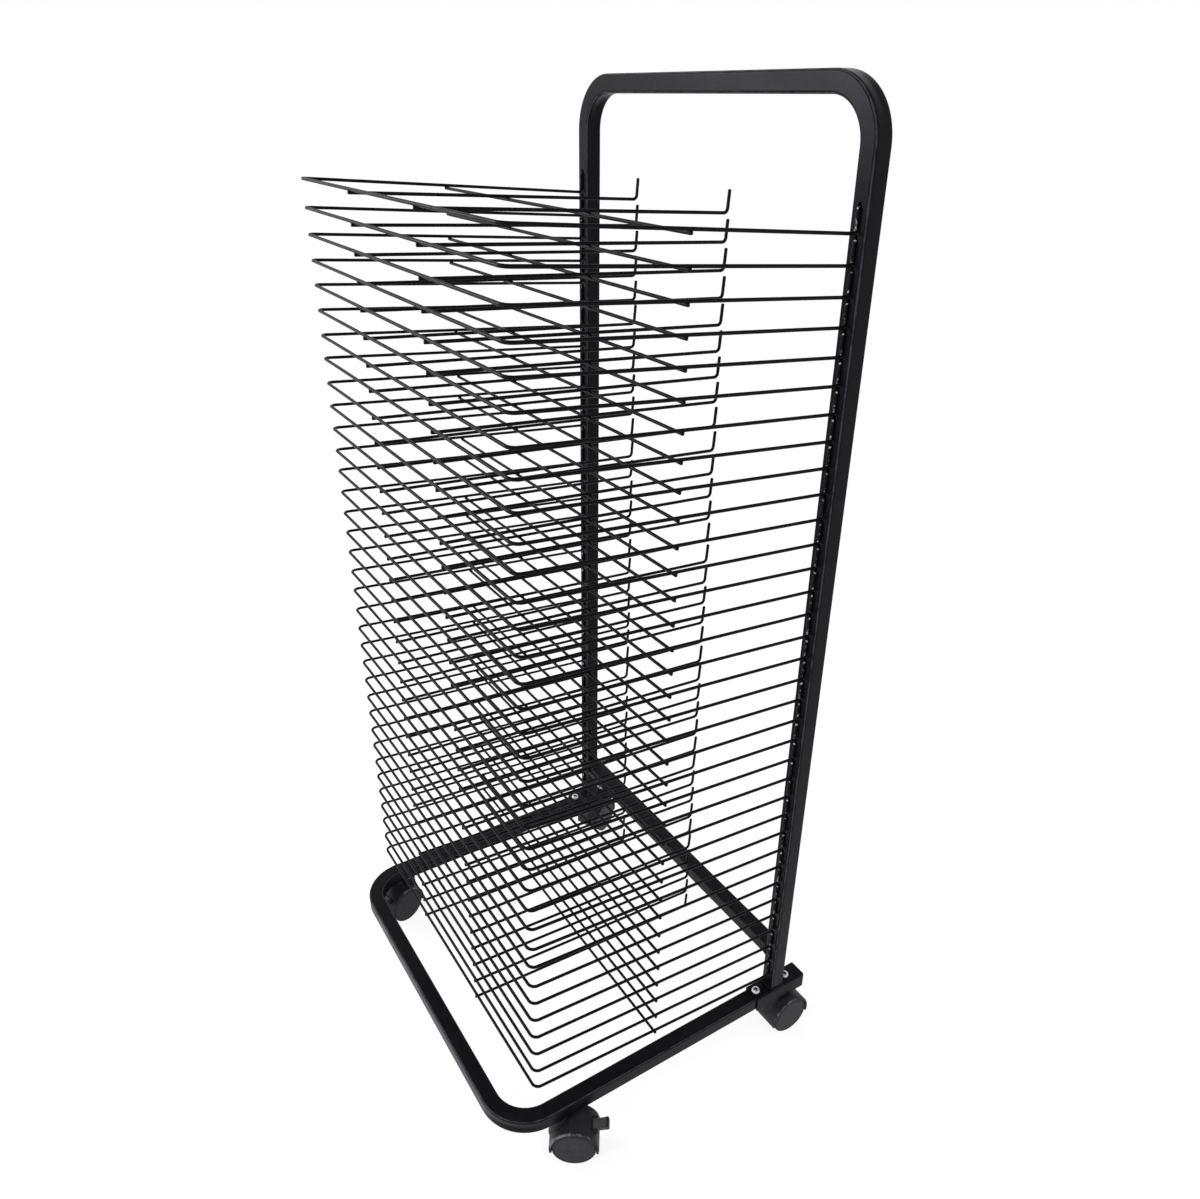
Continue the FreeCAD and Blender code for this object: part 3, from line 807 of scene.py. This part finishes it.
boss = {
    "radius": 9 * mm,
    "top": 57.95 * mm,
    "edge": ((1.0 * mm, 0.0), (0.3 * mm, 0.15 * mm)),    # points in from the side and down from the top
    "shoulder": 0.5 * mm,        # from the top to where the flare starts
    "length": 26 * mm,
    "flare": 2.6 * mm,
    "flarePower": 1.6,
    "rings": 14,
    "steps": 56,
}

wheel = {
    "radius": 25 * mm,
    "inside": 4 * mm,            # inner face from the caster's middle
    "inset": 0.6 * mm,           # outer face behind the hood's edges
    "edge": 1.3 * mm,
    "edgeSteps": 5,
    "steps": 84,
    "hub": (5 * mm, 5.2 * mm),   # radii of the inner face's hub, at its face and at its root
    "rim": (3.6 * mm, 4 * mm),   # the same of its rim, in from the tread
    "hollow": 1.2 * mm,          # between them
    "ring": ((2.4 * mm, 0.0), (2.7 * mm, 0.45 * mm), (3.3 * mm, 0.5 * mm),
             (3.7 * mm, 0.12 * mm)),     # sunk in the outer face: in from the tread, and depth
    "cap": (4.2 * mm, 0.05 * mm),
    "capRings": 9,
}


def atAxle(radius, angle):
    # points round the axle, in the caster's middle plane
    way = np.stack([np.cos(angle), np.zeros(np.shape(angle)), np.sin(angle)], axis=-1)
    return axlePoint + radius * way


def alongAxle(side):
    # turns Z to point outwards on one side
    return [[1, 0, 0], [0, 0, side], [0, -side, 0]]


def quarterArc(centreA, centreB, radius, steps):
    # from +a to +b round a centre
    angle = np.linspace(0, np.pi / 2, steps + 1)
    return np.stack([centreA + radius * np.cos(angle), centreB + radius * np.sin(angle)], axis=1)


def hoodArc(steps):
    return np.linspace(-hood["drop"], np.pi + hood["drop"], steps + 1)


def hoodShell():
    # section across the hood, a flat band with round edges, carried round the axle;
    # the wear, a painted highlight, is along the round edges, most at the stem's side and hardly any at the
    # other
    inner, outer, half, rim = hood["inner"], hood["outer"], caster["halfWidth"], hood["edge"]
    edge = quarterArc(half - rim, outer - rim, rim, hood["edgeSteps"])
    reach, count, cut = half - rim - hood["flatInset"], hood["flatPoints"], hood["innerEdge"]
    flat = np.stack([np.linspace(reach, -reach, count), np.full(count, outer)], axis=1)
    back = [[-half, inner + cut], [-half + cut, inner], [half - cut, inner], [half, inner + cut]]
    section = np.vstack([edge, flat, edge[::-1] * (-1, 1), back])
    across = np.zeros(count)
    across[[0, -1]] = hood["flatHighlight"]
    wearAndLightShare = np.concatenate([np.ones(len(edge)), across, np.ones(len(edge)),
                           [hood["innerHighlight"], 0, 0, hood["innerHighlight"]]])
    u = hoodArc(hood["steps"])[:, None]
    band = atAxle(section[:, 1, None], u)
    band[..., 1] = section[:, 0]
    mean, more = hood["highlightShares"]
    share = np.clip(mean - more * np.cos(u), 0, 1) * np.clip(np.sin(u) / hood["highlightFade"], 0, 1)
    return closedTube(band), (share * wearAndLightShare).ravel()


def webAndBoss():
    # web: disc with a square foot, thickened along the axle; boss: column flaring into the arch
    foot = web["foot"]
    arc = atAxle(hood["outer"] - web["overlap"], hoodArc(web["steps"]))
    ends = axlePoint + np.array([[-foot, 0, -foot], [foot, 0, -foot]])
    top, radius = boss["top"], boss["radius"]
    drop = np.linspace(0, 1, boss["rings"])
    height = top - boss["shoulder"] - drop * boss["length"]
    flare = radius + boss["flare"] * drop ** boss["flarePower"]
    profile = [(0, top)] + [(radius - inward, top - down) for inward, down in boss["edge"]]
    profile += list(zip(flare, height)) + [(0, height[-1])]
    return [bar(np.vstack([arc, ends]), web["half"]), lathe(profile, boss["steps"])]


def wheelShell():
    # tread with round edges, and an outer face with a shallow ring sunk between rim and cap;
    # the round of the tread on that side is marked 1, for a painted shade
    r, wide = wheel["radius"], caster["halfWidth"] - wheel["inside"] - wheel["inset"]
    edge, steps, hollow = wheel["edge"], wheel["steps"], wheel["hollow"]
    outerEdge = quarterArc(r - edge, wide - edge, edge, wheel["edgeSteps"])
    innerEdge = (outerEdge * (1, -1) + (0, wide))[::-1]
    (hubFace, hubRoot), (rimFace, rimRoot), (capEdge, capDepth) = wheel["hub"], wheel["rim"], wheel["cap"]
    back = [(0, 0), (hubFace, 0), (hubRoot, hollow), (r - rimRoot, hollow), (r - rimFace, 0)]
    ring = [(r - inward, wide - depth) for inward, depth in wheel["ring"]]
    cap = [(share * (r - capEdge), wide - capDepth) for share in np.linspace(1, 0, wheel["capRings"])]
    profile = np.vstack([back, innerEdge, outerEdge, ring, cap])
    wearAndLightShare = np.zeros(len(profile))
    first = len(back) + len(innerEdge)
    wearAndLightShare[first:first + len(outerEdge)] = 1
    return lathe(profile, steps), np.concatenate([np.repeat(wearAndLightShare[1:-1], steps), [0, 0]])


lever = {
    "angle": math.radians(38),
    "offset": 1.4 * mm,
    "halfWidth": 6.5 * mm,
    "thickness": 3.6 * mm,
    "reach": 16 * mm,
    "tail": 2.6 * mm,
    "nose": (2.0 * mm, 3.6 * mm),        # in front of and below the pin
    "noseRoot": 0.2 * mm,
    "rise": math.radians(12),
    "corner": 1.8 * mm,
    "cornerSteps": 4,
    "lip": (2.8 * mm, 0.9 * mm),         # length and height of the ridge along the tab's end
    "lipSlope": 1.3,                     # its foot, in shares of its length
    "drawn": (1, 1, 0.6, 0.6, 0, 0, 0, 0),       # share of the round corners for each outline point
    "dark": (1, 1, 1, 0, 0, 0, 0, 0),
    "softEdge": 0.6 * mm,
    "softSegments": 3,
    "pin": 1.3 * mm,
    "pinSides": 20,
    "gap": 0.3 * mm,                     # to the lugs and to the notch
    "lug": 3 * mm,
    "lugRadius": 3.4 * mm,
    "lugEdges": (0.3 * mm, 0.5 * mm),    # its chamfers inside and outside
    "lugSteps": 32,
    "notch": 7.5 * mm,
    "notchDepth": 4 * mm,
}
leverAxis = atAxle(hood["outer"] + lever["offset"], lever["angle"])


def leverShells():
    # side outline of the tab with its lip and nose, repeated across the tab; towards each side its
    # end is drawn in by corner * (1 - cos a) at corner * sin a, which rounds the tab's two corners;
    # the points of the lip are marked 1
    half, t = lever["halfWidth"], lever["thickness"] / 2
    cos, sin = math.cos(lever["rise"]), math.sin(lever["rise"])
    end, (lipLength, lipHeight), corner = lever["reach"], lever["lip"], lever["corner"]
    outline = np.array([(-end, t), (-end, -t - lipHeight), (-end + lipLength, -t - lipHeight),
                        (-end + lipLength * lever["lipSlope"], -t), (lever["tail"], -t),
                        (lever["tail"], t), lever["nose"], (lever["noseRoot"], t)])
    a = np.linspace(0, np.pi / 2, lever["cornerSteps"] + 1)
    across = half - corner + corner * np.sin(a)
    drawn = corner * (1 - np.cos(a))
    across, drawn = np.concatenate([-across[::-1], across]), np.concatenate([drawn[::-1], drawn])
    back = outline[:, 0] + drawn[:, None] * lever["drawn"]
    drop, side = outline[:, 1], np.repeat(across[:, None], len(outline), axis=1)
    turned = np.stack([-back * cos + drop * sin, side, -back * sin - drop * cos], axis=-1)
    reach = half + lever["lug"]
    pins = roundWire(leverAxis + np.array([[0, y, 0] for y in (-reach, 0, reach)]), lever["pin"],
                     lever["pinSides"])
    dark = np.concatenate([np.tile(lever["dark"], len(across)), np.zeros(len(pins[0]))])
    return [closedTube(leverAxis + turned), pins], dark


def lugShell(side):
    radius, thick, (inner, outer) = lever["lugRadius"], lever["lug"], lever["lugEdges"]
    profile = [(0, 0), (radius - inner, 0), (radius, inner), (radius, thick - outer),
               (radius - outer, thick), (0, thick)]
    shift = leverAxis + [0, side * (lever["halfWidth"] + lever["gap"]), 0]
    return moved(lathe(profile, lever["lugSteps"]), alongAxle(side), shift)


def notchShell():
    # opening round the lever's inner edge, cut square to the hood
    a = lever["angle"]
    out, along = np.array([math.cos(a), 0, math.sin(a)]), np.array([-math.sin(a), 0, math.cos(a)])
    ring = np.array([atAxle(hood["outer"], a) + out * i * lever["notchDepth"] + along * j * lever["notch"] / 2
                     for i, j in ((-1, -1), (1, -1), (1, 1), (-1, 1))])
    return bar(ring, lever["halfWidth"] + lever["gap"])


def buildCasters():
    for name, joint in joints.items():
        if not name.endswith("_swivel_turn"):
            continue
        corner = name.removesuffix("_swivel_turn")
        spin = joints[corner + "_wheel_a_spin"]
        stem, axle = np.array(joint["pos_m"]) * (1, 1, 0), np.array(spin["pos_m"]) * (1, 1, 0)
        way = unit(axle - stem)
        turn = np.array([[way[0], -way[1], 0], [way[1], way[0], 0], [0, 0, 1]])
        braked = corner + "_brake_lever" in frame["nodes"]
        shell, wearAndPaintedLight = hoodShell()
        # the hood's round edges carry a painted highlight, weaker on casters without a lever
        arched = makePiece(corner + "_hood", [moved(shell, turn, stem)], finishes["hoodPlastic"],
                           corner + "_swivel", [corner + "_caster_hood"],
                           wearAndPaintedLight=wearAndPaintedLight * (1 if braked else caster["unbrakedHighlight"]))
        if braked:
            cutAway(arched, [moved(notchShell(), turn, stem)])
        extra = webAndBoss() + ([lugShell(-1), lugShell(1)] if braked else [])
        makePiece(corner + "_boss", [moved(shell, turn, stem) for shell in extra], finishes["hoodPlastic"],
                  corner + "_swivel")
        # the outer round of each tread carries a painted shade
        shell, wearAndPaintedLight = wheelShell()
        for letter, side in (("a", -1), ("b", 1)):
            rolling = moved(shell, alongAxle(side), axlePoint + [0, side * wheel["inside"], 0])
            body = corner + "_wheel_" + letter
            makePiece(corner + "_tyre_" + letter, [moved(rolling, turn, stem)], finishes["wheelPlastic"],
                      body, [body], wearAndPaintedLight=wearAndPaintedLight)
        if braked:
            shells, wearAndPaintedLight = leverShells()
            tab = makePiece(corner + "_lever", [moved(shell, turn, stem) for shell in shells],
                            finishes["leverPlastic"], corner + "_brake_lever",
                            [corner + "_brake_lever"], wearAndPaintedLight=wearAndPaintedLight)
            softenEdges(tab, lever["softEdge"], lever["softSegments"])
        paint(corner + "_caster_axle", "zincSteel")
    paint("caster_stems", "zincSteel")
    print("casters made")


def paint(node, finish):
    for slot in frame["nodes"][node].material_slots:
        slot.material = finishes[finish]


buildCasters()


stageLook = {
    "halfSize": 40.0,
    "floor": 0.86,
    "floorSeen": 0.38,           # share of the floor's own light and shade that shows
    "floorGlow": 0.84,           # white under it, so that the unshaded floor is white too
    "worldLight": 0.5,
    "skyFade": (0.5, 0.9),       # height in the sky over which the white that shows fades
    "skyTop": 0.3,
}

lamps = {
    "key": {"spot": (-1.3, -1.3, 1.4), "target": (0, 0, 0.95), "size": 0.9, "power": 19.0},
    "fill": {"spot": (1.7, 0.9, 0.4), "target": (0, 0, 0.1), "size": 1.0, "power": 0.5},
    "edge": {"spot": (0.5, -2.1, 1.25), "target": (0, 0, 0.6), "size": 0.4, "power": 13.0},
}

view = {
    "eye": (822.7 * mm, -627.9 * mm, 1062.6 * mm),    # from the floor midway between the posts' front faces
    "azimuth": math.radians(57.831),
    "pitch": math.radians(27.569),
    "roll": math.radians(0.31),
    "focal": 966.57,             # in pixels of a picture frameWidth wide
    "frameWidth": 1200,
    "sensor": 36,                # in millimetres
}


def seenRays(tree):
    # 1 for rays that show the stage, straight, mirrored or through glass; 0 for those that light it
    path = addNode(tree, "ShaderNodeLightPath")
    seen = maths(tree, "ADD", path.outputs["Is Camera Ray"], path.outputs["Is Glossy Ray"], clamp=True)
    return maths(tree, "ADD", seen, path.outputs["Is Transmission Ray"], clamp=True)


def showAs(tree, lights, shows, output):
    # one shader for the rays that light, another for those that show
    mix = addNode(tree, "ShaderNodeMixShader")
    feed(tree, mix.inputs, (seenRays(tree), lights.outputs[0], shows.outputs[0]))
    tree.links.new(mix.outputs[0], tree.nodes[output].inputs["Surface"])


def buildStage():
    half = stageLook["halfSize"]
    corners = np.array([[-half, -half, 0], [half, -half, 0], [half, half, 0], [-half, half, 0]])
    makePiece("floor", [(corners, [np.array([[0, 1, 2, 3]])])], floorFinish(), None)
    world = bpy.data.worlds.new("studio")
    bpy.context.scene.world = world
    world.use_nodes = True
    tree = world.node_tree
    white = (1, 1, 1, 1)
    lights = addNode(tree, "ShaderNodeBackground", Color=white, Strength=stageLook["worldLight"])
    shows = addNode(tree, "ShaderNodeBackground", Color=white)
    way = addNode(tree, "ShaderNodeSeparateXYZ")
    tree.links.new(addNode(tree, "ShaderNodeTexCoord").outputs["Generated"], way.inputs[0])
    fade = ranged(tree, way.outputs["Z"], *stageLook["skyFade"], 1.0, stageLook["skyTop"])
    tree.links.new(fade, shows.inputs["Strength"])
    showAs(tree, lights, shows, "World Output")


def floorFinish():
    material = bpy.data.materials.new("paleFloor")
    material.use_nodes = True
    tree = material.node_tree
    tree.nodes.remove(tree.nodes["Principled BSDF"])
    pale, seen = stageLook["floor"], stageLook["floor"] * stageLook["floorSeen"]
    lights = addNode(tree, "ShaderNodeBsdfDiffuse", Color=(pale, pale, pale, 1))
    shade = addNode(tree, "ShaderNodeBsdfDiffuse", Color=(seen, seen, seen, 1))
    glow = addNode(tree, "ShaderNodeEmission", Color=(1, 1, 1, 1), Strength=stageLook["floorGlow"])
    shows = addNode(tree, "ShaderNodeAddShader")
    feed(tree, shows.inputs, (shade.outputs[0], glow.outputs[0]))
    showAs(tree, lights, shows, "Material Output")
    return material


def areaLight(name, spot, target, size, power):
    data = bpy.data.lights.new(name, "AREA")
    data.shape, data.size, data.energy = "DISK", size, power
    lamp = bpy.data.objects.new(name, data)
    bpy.context.scene.collection.objects.link(lamp)
    lamp.location = spot
    lamp.rotation_mode = "QUATERNION"
    away = type(frontLeft)(np.subtract(target, spot))
    lamp.rotation_quaternion = away.to_track_quat("-Z", "Y")


def buildCamera():
    az, pitch, roll = view["azimuth"], view["pitch"], view["roll"]
    forward = np.array([-math.sin(az) * math.cos(pitch), math.cos(az) * math.cos(pitch), -math.sin(pitch)])
    right = np.array([math.cos(az), math.sin(az), 0])
    up = np.cross(right, forward)
    tiltedRight = right * math.cos(roll) + up * math.sin(roll)
    tiltedUp = -right * math.sin(roll) + up * math.cos(roll)
    data = bpy.data.cameras.new("view")
    data.sensor_width = view["sensor"]
    data.lens = view["focal"] / view["frameWidth"] * view["sensor"]
    camera = bpy.data.objects.new("view", data)
    bpy.context.scene.collection.objects.link(camera)
    matrix = np.eye(4)
    matrix[:3, :3] = np.stack([tiltedRight, tiltedUp, -forward], axis=1)
    matrix[:3, 3] = np.add(view["eye"], (0, postFace, 0))
    camera.matrix_world = matrix.T.tolist()
    bpy.context.scene.camera = camera


buildStage()
for name, lamp in lamps.items():
    areaLight(name, **lamp)
buildCamera()
bpy.context.scene.view_settings.view_transform = "Standard"
print("stage made, lamps:", len(lamps))
